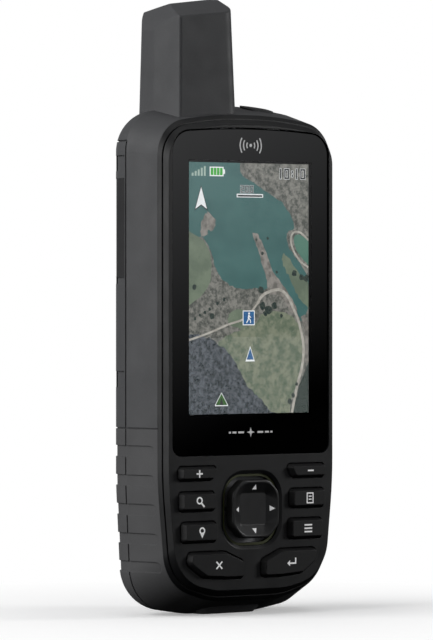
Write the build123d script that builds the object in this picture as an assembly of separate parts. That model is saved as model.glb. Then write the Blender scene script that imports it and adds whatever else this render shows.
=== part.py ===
from build123d import *
import os

# Handheld GPS unit: a rugged receiver with a helix antenna stub, a portrait
# display under a cover glass, nine front keys and a two-cell battery bay.
# X points right, Y to the back and Z up, in millimetres. The unit faces -Y.
# The origin is the middle of the box around the unit, on its standing plane.

# Whole unit
WIDTH = 62.0
DEPTH = 35.0
HEIGHT = 163.0
HALF = WIDTH / 2
CROWN_Z = 134.9            # top of the case beside the antenna

# Levels from front to back
Y_ROCKER = -DEPTH / 2      # rim of the rocker
Y_KEY = -17.2              # key tops
Y_FACE = -15.5             # keypad face
Y_GLASS = -15.0            # cover glass
Y_LEDGE = -13.6            # shelf that the glass is bonded to
Y_PLATE = -13.4            # back of the keypad plate
Y_SEAM = -12.5             # front housing meets mid housing
Y_SPLIT = -1.5             # mid housing meets rear housing
Y_BACK = 8.6               # flat of the back
Y_HUMP = 15.3              # back of the battery hump
Y_REAR = DEPTH / 2         # spine rail and lifting ring

# Case outline
# Each section is drawn in from the widest by side, foot and crown; the last
# two numbers place its lower corner, in from the side and up from the base.
WIDEST = (0.0, 0.0, 0.0, 1.7, 2.8)
SEAM = (2.3, 3.8, 2.8, 2.6, 8.4)
GROOVE = (3.45, 5.6, 4.5, 2.5, 9.1)
FACE = (3.8, 6.9, 5.6, 2.45, 9.8)
SOLE_HALF = 11.5           # where the underside starts to rise
SOLE_ROUND = 25.0
KNEE_ROUND = 12.0
HIP_Z = 35.0               # above this the sides are upright
HIP_ROUND = 120.0
SHOULDER_ROUND = 11.0
CROWN_FLAT = 10.0
CROWN_SLOPE = 0.15
CROWN_ROUND = 105.0
BACK_ROUND = 8.5
PAD = (-5.5, 5.0)          # depth of the standing pad
PAD_HALF = 9.0
WALL = 2.4
GRIP_THICK = 1.2
GRIP_TOP = 49.4
GRIP_OPEN = 19.5           # half width of the bare middle of the back
Y_GRIP_OPEN = 5.0          # where the bare middle begins
PANEL_TOP = 125.0
LINE = 0.4                 # width of the parting lines
LINE_DEEP = 0.35

# Display
GLASS_HALF = 26.0
GLASS_Z = (42.4, 128.5)
GLASS_THICK = 1.0
LCD_HALF = 21.4
LCD_Z = (50.4, 121.6)

# Keys
KEY_GAP = 0.3
KEY_SLOPE = 0.65           # how far the key sides lean in
Y_FLANGE = -13.2
Y_MAT = -11.9
ROCKER_Z = 28.1
Y_RING = -14.6            # front of the coloured ring
DISH_DEEP = 1.5
WELL_BEVEL = 0.9
POWER_AT = (11.0, -3.2)    # X and Y of the power button
POWER_PROUD = 0.4
CAP_AXIS = (8.2, 122.6)    # Y and Z of the weather cap bead
BEAD_R = 0.9

# Board and battery bay
Y_BOARD = -10.5
BOARD_THICK = 1.2
BOARD_HALF = 20.8
CELL_R = 7.25
CELL_LONG = 50.5
CELL_X = 7.6
CELL_Y = 6.7
BAY_HALF = 15.3
BAY_Z = (30.5, 85.0)
Y_BAY = -0.7
HUMP_HALF = 17.5
HUMP_Z = (14.0, 112.0)
HUMP_ROUND = 4.5
DOOR_TOP = 90.0
Y_DOOR = 9.8
LATCH_Z = 24.0
RING_WIRE = 1.0
RING_HALF = 7.0
RING_LONG = 18.0

# Antenna
ANTENNA_X = -10.9
ANTENNA_Y = -2.3
ROOF_TILT = 7.1

# Screws
BOSS_X = 24.0
BOSS_Z = (45.5, 117.5)
SPINE_SCREW_Z = (96.0, 104.0)


# ---------------------------------------------------------------- helpers

def at_depth(y):
    """Plane whose local x and y run along X and Z, at depth y."""
    return Plane.XZ.offset(-y)


def prism(profile, front, back):
    """Extrude a profile drawn in X and Z from depth front to depth back."""
    return extrude(at_depth(back) * profile, amount=back - front)


def block(x, y, z):
    """Box from three (low, high) pairs."""
    size = [high - low for low, high in (x, y, z)]
    middle = [(high + low) / 2 for low, high in (x, y, z)]
    return Pos(*middle) * Box(*size)


def rod(radius, x, z, front, back):
    """Round bar along Y."""
    return prism(Pos(x, z) * Circle(radius), front, back)


def polygon(points, radius):
    """Closed profile with rounded corners; radius is one value or one per corner."""
    return make_face(FilletPolyline(*points, radius=radius, close=True))


def rounded(half_x, z, radius):
    """Rounded rectangle profile, centred on X = 0, between two heights."""
    low, high = z
    return Pos(0, (low + high) / 2) * RectangleRounded(2 * half_x, high - low, radius)


def both_sides(shape):
    """The shape and its mirror image across X = 0."""
    return [shape, mirror(shape, about=Plane.YZ)]


def group(solids):
    """Several separate solids in one node."""
    return Compound(children=[solid for item in solids for solid in item.solids()])


# ------------------------------------------------------------- case forms

def outline(section, wall=0.0):
    """Case outline in X and Z for one section, drawn in further by a wall."""
    side, foot, crown, knee_in, knee_z = section
    half = HALF - side - wall
    crown_z = CROWN_Z - crown - wall
    tighter = 0.6 * (side + wall)
    right = [
        (SOLE_HALF, foot + wall, SOLE_ROUND),
        (half - knee_in, knee_z + 0.85 * wall, KNEE_ROUND - 0.6 * wall),
        (half, HIP_Z, HIP_ROUND),
        (half, crown_z - CROWN_SLOPE * (half - CROWN_FLAT), SHOULDER_ROUND - tighter),
        (CROWN_FLAT, crown_z, CROWN_ROUND),
    ]
    corners = right + [(-x, z, r) for x, z, r in reversed(right)]
    return polygon([(x, z) for x, z, r in corners], [r for x, z, r in corners])


def front_form(wall=0.0):
    """Band between the seam and the split, flaring to the widest section."""
    sections = [at_depth(Y_SEAM) * outline(SEAM, wall), at_depth(Y_SPLIT) * outline(WIDEST, wall)]
    return loft(sections, ruled=True)


def back_form(wall=0.0):
    """Rear half of the case with its rounded back edge."""
    form = prism(outline(WIDEST, wall), Y_SPLIT, Y_BACK - wall)
    return fillet(form.faces().sort_by(Axis.Y)[-1].edges(), BACK_ROUND - wall)


def skin(depth):
    """Outer layer of the whole case."""
    return (front_form() - front_form(depth)) + (back_form() - back_form(depth))


def hump_form(inset=0.0):
    """Raised middle of the back, over the battery bay."""
    low, high = HUMP_Z
    profile = rounded(HUMP_HALF - inset, (low + inset, high - inset), 6.0 - inset)
    form = prism(profile, 4.0, Y_HUMP - inset)
    return fillet(form.faces().sort_by(Axis.Y)[-1].edges(), HUMP_ROUND - inset)


def antenna_section(z, ridge, left, right, front, back, wall):
    """Antenna section: a crisp ridge at the front left and a round back."""
    corners = [(ridge + wall, front + wall), (right - wall, front - 0.7 + wall),
               (right - wall, back - wall), (left + wall, back - wall), (left + wall, -1.0)]
    radii = [max(r - wall, 0.4) for r in (0.9, 3.5, 5.5, 4.5, 8.0)]
    return Plane.XY.offset(z) * polygon(corners, radii)


def antenna_form(wall=0.0):
    """Tapered antenna stub under a pitched, tilted roof with a round left end."""
    stub = loft([antenna_section(126.0, -20.2, -21.8, -0.3, -10.8, 8.4, wall),
                 antenna_section(168.0, -19.9, -21.2, -2.3, -10.5, 7.3, wall)], ruled=True)
    ridge_z = 161.1 - wall
    roof = [(-20.0, 100.0), (-20.0, ridge_z - 7.8), (-3.0, ridge_z),
            (20.0, ridge_z - 4.1), (20.0, 100.0)]
    under = extrude(Plane.YZ.offset(-60.0) * polygon(roof, [0, 0, 2.0, 0, 0]), amount=80.0)
    tilt = Pos(-20.5, 0, 157.0) * Rot(0, -ROOF_TILT, 0) * Pos(20.5, 0, -157.0)
    end_points = [(20.0, 100.0), (20.0, 168.0), (-17.6, 161.9), (-21.7, 155.5), (-22.2, 100.0)]
    end = Pos(1.2 * wall, 0, 0) * prism(polygon(end_points, [0, 0, 5.0, 14.0, 0]), -30.0, 30.0)
    form = stub & (tilt * under) & end & block((-30, 5), (-30, 30), (120, HEIGHT - wall))
    if wall:
        return form
    roof_edges = [e for e in form.edges() if e.center().Z > 155.5 and e.bounding_box().size.Z < 8]
    return fillet(roof_edges, 0.6)


# ------------------------------------------------------------ key outlines

def key_profiles():
    """Corners and their rounding for the left keys, by row; the right side mirrors them."""
    return {
        "upper": ([(-24.2, 36.0), (-13.4, 36.0), (-11.3, 39.6), (-24.2, 39.6)],
                  [1.0, 1.4, 0.9, 1.0]),
        "second": ([(-24.0, 28.0), (-12.5, 28.0), (-12.5, 33.0), (-24.0, 33.0)], [1.0] * 4),
        "third": ([(-23.3, 19.8), (-12.0, 19.8), (-12.0, 25.1), (-23.3, 25.1)], [1.0] * 4),
        "lower": ([(-16.2, 10.5), (-9.0, 10.0), (-3.1, 10.0), (-3.1, 14.6), (-9.2, 17.2),
                   (-21.0, 17.2), (-21.6, 14.2)],
                  [4.0, 6.0, 1.0, 1.1, 4.0, 1.2, 1.8]),
    }


KEY_NAMES = {
    "upper": ("key_plus", "key_minus"),
    "second": ("key_find", "key_page"),
    "third": ("key_mark", "key_menu"),
    "lower": ("key_quit", "key_enter"),
}


def key_outline(profile, grow=0.0):
    """Key outline with every side moved out by grow, or in if it is negative."""
    points, radii = profile
    corners = []
    for i, point in enumerate(points):
        here, last, following = [Vector(*points[k % len(points)]) for k in (i, i - 1, i + 1)]
        sides = [(here - last).normalized(), (following - here).normalized()]
        out, out_next = [Vector(side.Y, -side.X) for side in sides]
        corner = here + (out + out_next) * (grow / (1.0 + out.dot(out_next)))
        corners.append((corner.X, corner.Y))
    return polygon(corners, [max(radius + grow, 0.35) for radius in radii])


def key(profile):
    """Key cap with leaning sides and a retaining flange behind the plate."""
    foot = Y_FACE + 0.1
    sides = loft([at_depth(foot) * key_outline(profile),
                  at_depth(Y_KEY) * key_outline(profile, -KEY_SLOPE)], ruled=True)
    flange = prism(key_outline(profile, 0.7), Y_FLANGE, Y_FLANGE + 0.5)
    return sides + prism(key_outline(profile), foot, Y_FLANGE) + flange


def rocker_profile():
    """Rounded octagon of the rocker."""
    cut, wide, high = 4.3, 7.75, 7.7
    corners = [(cut, high), (wide, cut), (wide, -cut), (cut, -high),
               (-cut, -high), (-wide, -cut), (-wide, cut), (-cut, high)]
    return Pos(0, ROCKER_Z) * polygon(corners, 3.0)


def well_profile(shrink=0.0):
    """Opening around the rocker."""
    return rounded(9.2 - shrink, (18.4 + shrink, 37.4 - shrink), 6.3 - shrink)


def glass_profile(grow=0.0):
    """Cover glass: square bottom corners and a shallow arched top with round corners."""
    low, high = GLASS_Z[0] - grow, GLASS_Z[1] + grow
    half = GLASS_HALF + grow
    corners = [(half, low), (half, high - 1.2), (8.0, high), (-8.0, high),
               (-half, high - 1.2), (-half, low)]
    return polygon(corners, [2.8, 6.0, 100.0, 100.0, 6.0, 2.8])


# ------------------------------------------------------------------ pieces

def screw_places():
    """Axes of the four housing screws."""
    return [(x, z) for x in (-BOSS_X, BOSS_X) for z in BOSS_Z]


def front_housing():
    """Front bezel with the glass recess, key openings and screw bosses."""
    form = loft([at_depth(Y_SEAM) * outline(SEAM), at_depth(Y_FACE) * outline(FACE)], ruled=True)
    form -= block((-40, 40), (-13.95, -13.6), (-5, 140)) - prism(outline(GROOVE), -14.0, -13.5)
    form -= prism(glass_profile(0.1), -20.0, Y_LEDGE)
    form -= prism(display_window(), -20.0, 0.0)
    pocket = prism(outline(SEAM, WALL), Y_PLATE, 0.0) & block((-30, 30), (-20, 0), (0, 40.9))
    form -= pocket
    for profile in key_profiles().values():
        for cut in both_sides(prism(key_outline(profile, KEY_GAP), -20.0, 0.0)):
            form -= cut
    form -= loft([at_depth(Y_FACE - 0.01) * well_profile(-WELL_BEVEL),
                  at_depth(Y_FACE + 0.5) * well_profile()], ruled=True)
    form -= prism(well_profile(), -20.0, Y_RING + 0.7)
    form -= prism(well_profile(0.7), -20.0, 0.0)
    form -= housing_gasket()
    for x, z in screw_places():
        form += rod(2.0, x, z, Y_SEAM - 0.3, -7.0)
        form -= rod(0.9, x, z, -12.0, 0.0)
    return form


def display_window():
    """Opening behind the glass that the display shows through."""
    return rounded(22.2, (49.6, 122.4), 1.5)


def housing_gasket():
    """Seal let into the back rim of the front housing."""
    inner = prism(outline(SEAM, 1.7), Y_SEAM - 1.0, Y_SEAM + 1.0)
    return prism(outline(SEAM, 0.9), Y_SEAM - 0.4, Y_SEAM) - inner


def mid_housing():
    """Flared band with the roof behind it; the antenna and power button pass through it."""
    band = front_form() - front_form(WALL)
    roof = (back_form() - back_form(WALL)) & block((-40, 40), (Y_SPLIT, 20), (PANEL_TOP, 140))
    form = band + roof
    form -= (front_form() - front_form(GRIP_THICK)) & block((-40, 40), (-20, 20), (-5, GRIP_TOP))
    form -= antenna_form()
    form -= Pos(*POWER_AT, 0) * extrude(SlotOverall(10.5, 5.5), amount=HEIGHT)
    return form - parting_lines()


def parting_lines():
    """Shallow grooves along the split, the top of the rear panel and the grip."""
    groove_side = block((-40, 40), (Y_SPLIT - LINE / 2, Y_SPLIT + LINE / 2), (-5, PANEL_TOP))
    groove_top = block((-40, 40), (Y_SPLIT, 20), (PANEL_TOP - LINE / 2, PANEL_TOP + LINE / 2))
    groove_grip = block((-40, 40), (-20, 20), (GRIP_TOP - 0.02, GRIP_TOP + 0.35))
    return skin(LINE_DEEP) & (groove_side + groove_top + groove_grip)


def grip_region():
    """Space that the rubber covers: everything low except the middle of the back."""
    low = block((-40, 40), (Y_SEAM, 20), (-5, GRIP_TOP))
    return low - block((-GRIP_OPEN, GRIP_OPEN), (Y_GRIP_OPEN, 20), (-5, 60))


def grip_channels():
    """Five shallow channels across each side of the grip, round at the front end."""
    cuts = []
    for low, high in ((42.05, 45.05), (34.5, 37.4), (26.8, 29.8), (19.2, 22.1), (11.9, 14.7)):
        slot = Pos(-1.3, (low + high) / 2) * SlotOverall(20.0, high - low)
        cuts += both_sides(extrude(Plane.YZ.offset(18.0) * slot, amount=20.0))
    return cuts


def standing_pad():
    """Flat pad under the case, spreading upwards until it meets the skin."""
    front, back = PAD
    sole = Pos(0, (front + back) / 2) * RectangleRounded(2 * PAD_HALF, back - front, 2.0)
    return extrude(sole, amount=2.6, taper=-45) - front_form(GRIP_THICK) - back_form(GRIP_THICK)


def grip_overmould():
    """Rubber skin over the lower case, with its flat standing pad."""
    form = (skin(GRIP_THICK) + standing_pad()) & grip_region()
    channel_skin = skin(LINE_DEEP)
    for cut in grip_channels():
        form -= channel_skin & cut
    return form - parting_lines()


def inlay_region(side):
    """Place of one dark strip on the shoulder of the rear housing."""
    return block(sorted((side * 18.0, side * 40.0)), (Y_SPLIT + 0.5, 7.0), (89.3, 115.1))


def side_inlay(side):
    """Soft strip let into the side of the rear housing."""
    return (back_form(0.1) - back_form(0.9)) & inlay_region(side)


def side_notches():
    """Shallow notches that break up the rear edge on each side."""
    layer = back_form() - back_form(0.5)
    cuts = []
    for low, high in ((117.1, 121.2), (87.4, 89.2), (60.2, 64.5)):
        cuts += both_sides(layer & block((24.0, 40.0), (Y_SPLIT + 0.6, 6.0), (low, high)))
    return cuts


def rear_housing():
    """Back shell with the battery bay, the upper hump and the screw bosses."""
    shell = back_form() - back_form(WALL)
    shell -= (back_form() - back_form(GRIP_THICK)) & grip_region()
    form = shell & block((-40, 40), (Y_SPLIT, 20), (-5, PANEL_TOP))
    hump = hump_form() & block((-40, 40), (6.4, 20), (0, PANEL_TOP))
    hump -= block((-40, 40), (Y_DOOR - 0.2, 20), (0, DOOR_TOP + 0.25))
    hump -= hump_form(WALL) & block((-40, 40), (0, 20), (DOOR_TOP + 2.6, 120))
    form += hump
    form += block((-BAY_HALF - 1.0, BAY_HALF + 1.0), (Y_BAY - 1.0, 8.0), (BAY_Z[0] - 1.0, BAY_Z[1] + 1.0))
    form -= block((-BAY_HALF, BAY_HALF), (Y_BAY, 20), BAY_Z)
    form -= block((-6.0, 6.0), (7.0, 20), (18.0, 28.8))
    form -= door_gasket()
    for x, z in screw_places():
        form += rod(3.0, x, z, -7.0, 6.4)
        form -= rod(2.1, x, z, 2.0, 20.0)
        form -= rod(1.0, x, z, -7.0, 20.0)
    for cut in side_notches():
        form -= cut
    form -= (back_form() - back_form(0.9)) & (inlay_region(-1) + inlay_region(1))
    form -= prism(rounded(4.6, (115.2, 119.2), 0.8), 0.0, 20.0)
    form -= extrude(Plane.YZ.offset(-6.2) * Pos(*CAP_AXIS) * Circle(BEAD_R + 0.06), amount=12.4)
    form -= block((-5.2, 5.2), (7.3, 20.0), (CAP_AXIS[1], 124.35))
    for z in SPINE_SCREW_Z:
        form -= rod(1.0, 0, z, 10.0, 20.0)
    return form - parting_lines()


def door_gasket():
    """Seal around the battery bay, in the rim that the door closes on."""
    outer = rounded(16.9, (15.2, 88.6), 5.0)
    inner = rounded(15.9, (16.2, 87.6), 4.0)
    return prism(outer, 9.1, 9.7) - prism(inner, 9.0, 10.0)


def battery_door():
    """Arched cover over the bay, hooked at its top edge."""
    form = hump_form() & block((-40, 40), (Y_DOOR, 20), (0, DOOR_TOP))
    hollow = hump_form(1.15) & block((-40, 40), (0, 20), (0, DOOR_TOP - 1.4))
    form -= hollow
    form -= rod(4.9, 0, LATCH_Z, 14.6, 20.0)
    return form - rod(2.6, 0, LATCH_Z, 0.0, 20.0)


def door_latch():
    """Quarter-turn latch: knob, shaft and cam, with two lugs for the ring."""
    form = rod(4.6, 0, LATCH_Z, 14.75, 15.9) + rod(2.5, 0, LATCH_Z, 8.0, 15.0)
    form += block((-4.6, 4.6), (8.0, 9.2), (LATCH_Z - 1.5, LATCH_Z + 1.5))
    lugs = block((-4.4, 4.4), (15.6, 17.5), (LATCH_Z - 1.1, LATCH_Z + 1.1))
    lugs -= Pos(0, 16.5, LATCH_Z) * Rot(0, 90, 0) * Cylinder(RING_WIRE * 0.5 + 0.06, 20)
    return form + lugs


def d_ring():
    """Wire ring that swings on a pin through the latch lugs."""
    z = LATCH_Z
    path = FilletPolyline((-4.9, 16.5, z), (-RING_HALF, 16.5, z), (-RING_HALF, 16.5, z - RING_LONG + 1),
                          (RING_HALF, 16.5, z - RING_LONG + 1), (RING_HALF, 16.5, z), (4.9, 16.5, z),
                          radius=[1.2, 4.5, 4.5, 1.2])
    start = Plane(origin=path @ 0, z_dir=path % 0)
    ring = sweep(start * Circle(RING_WIRE), path=path)
    pin = Pos(0, 16.5, z) * Rot(0, 90, 0) * Cylinder(RING_WIRE * 0.5, 9.9)
    return ring + pin


def spine_rail():
    """T-shaped rail for a clip, on the upper hump."""
    foot = block((-4.0, 4.0), (Y_HUMP, 16.3), (92.5, 107.5))
    head = block((-6.0, 6.0), (16.3, Y_REAR), (92.5, 107.5))
    rail = foot + fillet(head.edges().filter_by(Axis.Y), 1.5)
    for z in SPINE_SCREW_Z:
        rail -= rod(1.9, 0, z, 16.6, 20.0)
        rail -= rod(1.0, 0, z, 15.0, 20.0)
    return rail


def screw(x, z, tip, seat, shaft_r, head_r, head_long):
    """Pan-head screw along Y with a cross slot, driven from the back."""
    body = rod(shaft_r, x, z, tip, seat) + rod(head_r, x, z, seat, seat + head_long)
    for size in ((1.9 * shaft_r, 0.4 * shaft_r), (0.4 * shaft_r, 1.9 * shaft_r)):
        slot = Pos(x, z) * Rectangle(*size)
        body -= prism(slot, seat + 0.45 * head_long, seat + head_long + 1)
    return body


def weather_cap():
    """Rubber cover of the data port, with a round bead that it turns on."""
    plate = prism(rounded(7.0, (113.4, 121.4), 1.6), 8.75, 10.3)
    plate = fillet(plate.faces().sort_by(Axis.Y)[-1].edges(), 0.6)
    plug = prism(rounded(4.2, (115.6, 118.8), 0.6), 7.4, 8.8)
    neck = block((-5.0, 5.0), (8.68, 9.6), (121.0, 122.9))
    bead = extrude(Plane.YZ.offset(-6.0) * Pos(*CAP_AXIS) * Circle(BEAD_R), amount=12.0)
    return plate + plug + neck + bead


def power_button():
    """Oval soft button that follows the roof, with a retaining flange inside."""
    place = Pos(*POWER_AT, 129.0)
    cap = place * extrude(SlotOverall(10.0, 5.0), amount=10.0)
    cap &= front_form(-POWER_PROUD) + back_form(-POWER_PROUD)
    return cap + place * extrude(SlotOverall(11.4, 6.4), amount=0.7)


def antenna_housing():
    """Hollow antenna cover, set into the roof of the case."""
    return antenna_form() - antenna_form(1.6)


def helix_strips():
    """Four copper strips wound half a turn around the antenna core."""
    strips = []
    for quarter in range(4):
        path = Helix(pitch=44.0, height=21.0, radius=5.75)
        start = Plane(origin=path @ 0, z_dir=path % 0)
        strip = sweep(start * Circle(0.35), path=path, is_frenet=True)
        strips.append(Pos(ANTENNA_X, ANTENNA_Y, 132.0) * Rot(0, 0, 90.0 * quarter) * strip)
    return group(strips)


def antenna_coax():
    """Thin coaxial lead from the antenna base down to the main board."""
    low = 116.0
    path = FilletPolyline((ANTENNA_X, ANTENNA_Y, 129.4), (ANTENNA_X, ANTENNA_Y, low),
                          (ANTENNA_X, Y_BOARD + BOARD_THICK, low), radius=[3.5])
    start = Plane(origin=path @ 0, z_dir=path % 0)
    return sweep(start * Circle(0.6), path=path)


def main_board():
    """Main circuit board behind the display and the keys."""
    low = polygon([(-BOARD_HALF, 121.5), (BOARD_HALF, 121.5), (BOARD_HALF, 13.0), (14.0, 9.0),
                   (-14.0, 9.0), (-BOARD_HALF, 13.0)], [1.5, 1.5, 3.0, 3.0, 3.0, 3.0])
    board = prism(low, Y_BOARD, Y_BOARD + BOARD_THICK)
    board += block((6.0, 16.0), (Y_BOARD, Y_BOARD + BOARD_THICK), (121.0, 126.5))
    for x, z in board_screw_places():
        board -= rod(0.85, x, z, -12.0, 0.0)
    return board


def board_screw_places():
    """Axes of the screws that hold the main board to the display frame."""
    return [(x, z) for x in (-18.5, 18.5) for z in (53.0, 118.0)]


def display_frame():
    """Pressed tray behind the backlight, with a lip around it."""
    tray = block((-21.9, 21.9), (-12.3, -10.7), (49.9, 122.1))
    tray -= block((-21.6, 21.6), (-13.0, -11.2), (50.2, 121.8))
    for x, z in board_screw_places():
        tray -= rod(0.8, x, z, -11.5, 0.0)
    return tray


def shield_cans():
    """Pressed screens over the radio, processor and memory."""
    cans = []
    rear = Y_BOARD + BOARD_THICK
    for x, z, wide, high, tall in ((-9.0, 104.0, 18.0, 16.0, 2.2), (9.5, 82.0, 16.0, 22.0, 1.8),
                                   (-10.0, 66.0, 15.0, 20.0, 1.8)):
        can = Pos(x, rear + tall / 2, z) * Box(wide, tall, high)
        cans.append(fillet(can.edges().filter_by(Axis.Y), 0.8))
    return group(cans)


def dome_places():
    """Centres of the snap domes: eight keys and the four rocker directions."""
    keys = [(18.0, 37.7), (18.2, 30.4), (17.8, 22.3), (12.0, 13.6)]
    places = [(side * x, z) for side in (-1, 1) for x, z in keys]
    return places + [(0, ROCKER_Z + 5.8), (0, ROCKER_Z - 5.8), (-5.8, ROCKER_Z), (5.8, ROCKER_Z)]


def dome_switches():
    """Metal snap domes on the board, one under each press point."""
    domes = []
    for x, z in dome_places():
        ball = Pos(x, Y_BOARD + 3.6, z) * Sphere(4.1)
        domes.append(ball & rod(1.95, x, z, Y_BOARD - 0.6, Y_BOARD))
    return group(domes)


def keypad_mat():
    """Silicone sheet between the keys and the domes."""
    sheet = polygon([(-23.0, 40.6), (23.0, 40.6), (23.5, 18.0), (16.0, 9.4), (-16.0, 9.4),
                     (-23.5, 18.0)], 2.0)
    return prism(sheet, Y_MAT, Y_BOARD - 0.6)


def rocker_cap():
    """Rocker with a thin rim, a sunk middle and four feet over the domes."""
    cap = prism(rocker_profile(), Y_ROCKER, -14.6)
    cap = fillet(cap.faces().sort_by(Axis.Y)[0].edges(), 0.45)
    mouth = at_depth(Y_ROCKER) * (Pos(0, ROCKER_Z) * RectangleRounded(14.1, 14.0, 5.0))
    floor = at_depth(Y_ROCKER + DISH_DEEP) * (Pos(0, ROCKER_Z) * RectangleRounded(8.4, 8.4, 0.6))
    cap -= loft([mouth, floor], ruled=True)
    cap -= rod(2.6, 0, ROCKER_Z, -15.4, 0.0)
    for x, z in dome_places()[-4:]:
        cap += rod(0.8, x, z, -15.0, -12.5)
    return cap


def rocker_stem():
    """Post that the rocker tips on."""
    return rod(2.0, 0, ROCKER_Z, -15.15, -12.4) + rod(3.0, 0, ROCKER_Z, -14.3, -13.7)


def rocker_ring():
    """Thin coloured ring on the ledge of the rocker well."""
    return prism(well_profile(0.05), Y_RING, Y_RING + 0.7) - prism(well_profile(0.75), -16.0, -13.0)


def cell(side):
    """AA cell with its raised positive end; the two cells point opposite ways."""
    low = BAY_Z[0] + 3.0
    body = fillet(Cylinder(CELL_R, CELL_LONG - 1.5).edges(), 0.6)
    button = Pos(0, 0, CELL_LONG / 2) * Cylinder(2.7, 1.5)
    upright = Pos(0, 0, -0.75) * body + Pos(0, 0, -0.75) * button
    turn = Rot(180, 0, 0) if side > 0 else Rot(0, 0, 0)
    return Pos(side * CELL_X, CELL_Y, low + CELL_LONG / 2) * turn * upright


def contact_springs():
    """Coil contacts at the foot of the bay, each drawn as stacked turns."""
    coils = []
    for side in (-1, 1):
        base = Pos(side * CELL_X, CELL_Y, BAY_Z[0] + 0.3) * Cylinder(4.2, 0.6)
        turns = base
        for step in range(4):
            turn = Pos(side * CELL_X, CELL_Y, BAY_Z[0] + 0.9 + 0.55 * step) * Torus(3.6 - 0.45 * step, 0.4)
            turns += turn
        coils.append(turns)
    return group(coils)


def contact_plates():
    """Flat contacts at the head of the bay."""
    plates = [block(sorted((side * 3.5, side * 11.7)), (2.5, 11.0), (84.05, 84.75)) for side in (-1, 1)]
    return group(plates)


def build():
    """Every piece of the unit, by node name."""
    pieces = {
        "front_housing": front_housing(),
        "housing_gasket": housing_gasket(),
        "mid_housing": mid_housing(),
        "rear_housing": rear_housing(),
        "grip_overmould": grip_overmould(),
        "side_inlay_left": side_inlay(-1),
        "side_inlay_right": side_inlay(1),
        "antenna_housing": antenna_housing(),
        "antenna_base": Pos(ANTENNA_X, ANTENNA_Y, 130.7) * Cylinder(6.6, 1.2),
        "helix_core": Pos(ANTENNA_X, ANTENNA_Y, 142.8) * Cylinder(5.4, 23.0),
        "helix_strips": helix_strips(),
        "antenna_coax": antenna_coax(),
        "display_glass": prism(glass_profile(), Y_GLASS, Y_GLASS + GLASS_THICK),
        "display_gasket": prism(glass_profile(-0.4), -14.0, Y_LEDGE)
                          - prism(display_window(), -15.0, -13.0),
        "lcd_panel": block((-LCD_HALF, LCD_HALF), (-13.95, -12.6), LCD_Z),
        "backlight_unit": block((-LCD_HALF, LCD_HALF), (-12.55, -11.25), LCD_Z),
        "display_frame": display_frame(),
        "main_board": main_board(),
        "board_screws": group([screw(x, z, -10.9, Y_BOARD + BOARD_THICK, 0.8, 1.5, 0.7)
                               for x, z in board_screw_places()]),
        "shield_cans": shield_cans(),
        "dome_switches": dome_switches(),
        "keypad_mat": keypad_mat(),
        "rocker_ring": rocker_ring(),
        "rocker_stem": rocker_stem(),
        "rocker_cap": rocker_cap(),
        "power_button": power_button(),
        "power_switch": block((8.5, 13.5), (Y_BOARD + BOARD_THICK, -1.4), (124.4, 128.2)),
        "io_board": block((-8.0, 8.0), (-9.2, 5.8), (113.9, 114.9)),
        "usb_connector": block((-3.8, 3.8), (-0.3, 6.1), (114.95, 118.4))
                         - block((-3.2, 3.2), (1.7, 8.0), (115.7, 117.7)),
        "beeper": rod(5.5, 9.0, 57.0, Y_BOARD + BOARD_THICK, -6.6),
        "battery_left": cell(-1),
        "battery_right": cell(1),
        "contact_springs": contact_springs(),
        "contact_plates": contact_plates(),
        "battery_door": battery_door(),
        "door_gasket": door_gasket(),
        "door_latch": door_latch(),
        "d_ring": d_ring(),
        "spine_rail": spine_rail(),
        "spine_screws": group([screw(0, z, 12.6, 16.6, 1.0, 1.8, 0.8) for z in SPINE_SCREW_Z]),
        "housing_screws": group([screw(x, z, -11.6, 2.0, 0.9, 1.8, 1.2) for x, z in screw_places()]),
        "weather_cap": weather_cap(),
    }
    for row, profile in key_profiles().items():
        for name, solid in zip(KEY_NAMES[row], both_sides(key(profile))):
            pieces[name] = solid
    return pieces


def main():
    os.makedirs("parts", exist_ok=True)
    for name, piece in build().items():
        export_step(piece, f"parts/{name}.step")


main()
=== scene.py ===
import math
import random

import bmesh
import bpy
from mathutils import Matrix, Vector
from mathutils.geometry import tessellate_polygon


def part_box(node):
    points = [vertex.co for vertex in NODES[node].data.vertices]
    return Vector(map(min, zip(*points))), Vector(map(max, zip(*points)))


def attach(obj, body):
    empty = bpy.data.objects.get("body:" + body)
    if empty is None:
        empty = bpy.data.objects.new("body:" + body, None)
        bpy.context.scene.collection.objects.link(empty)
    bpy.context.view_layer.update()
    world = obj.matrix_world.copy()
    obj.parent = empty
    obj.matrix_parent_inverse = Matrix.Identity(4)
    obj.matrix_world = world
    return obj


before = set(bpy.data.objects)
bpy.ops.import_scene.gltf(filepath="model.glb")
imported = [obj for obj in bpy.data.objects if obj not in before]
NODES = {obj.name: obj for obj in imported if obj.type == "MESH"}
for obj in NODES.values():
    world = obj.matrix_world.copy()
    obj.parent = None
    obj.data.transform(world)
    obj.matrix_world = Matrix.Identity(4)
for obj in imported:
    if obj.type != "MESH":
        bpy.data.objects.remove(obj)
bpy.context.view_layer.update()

MM = 0.001
SKY = 0.8                     # strength of the world as a light
PAINTED_GLOW = 0.22                # painted glow: own light of the symbols on the keys and the rocker, making them brighter than the lamps do
CURVE_STEPS = 6               # points made between two given points of a curve
DISH_MOUTH = 7.05 * MM        # half width of the rocker's dish at its rim
DISH_SLOPE = 1.5 / 2.85       # how fast the dish deepens inwards
ARROW_OUT = 5.75              # rocker arrow from the rocker's middle, in mm
random.seed(7)


# ------------------------------------------------------------ shader tools

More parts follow.
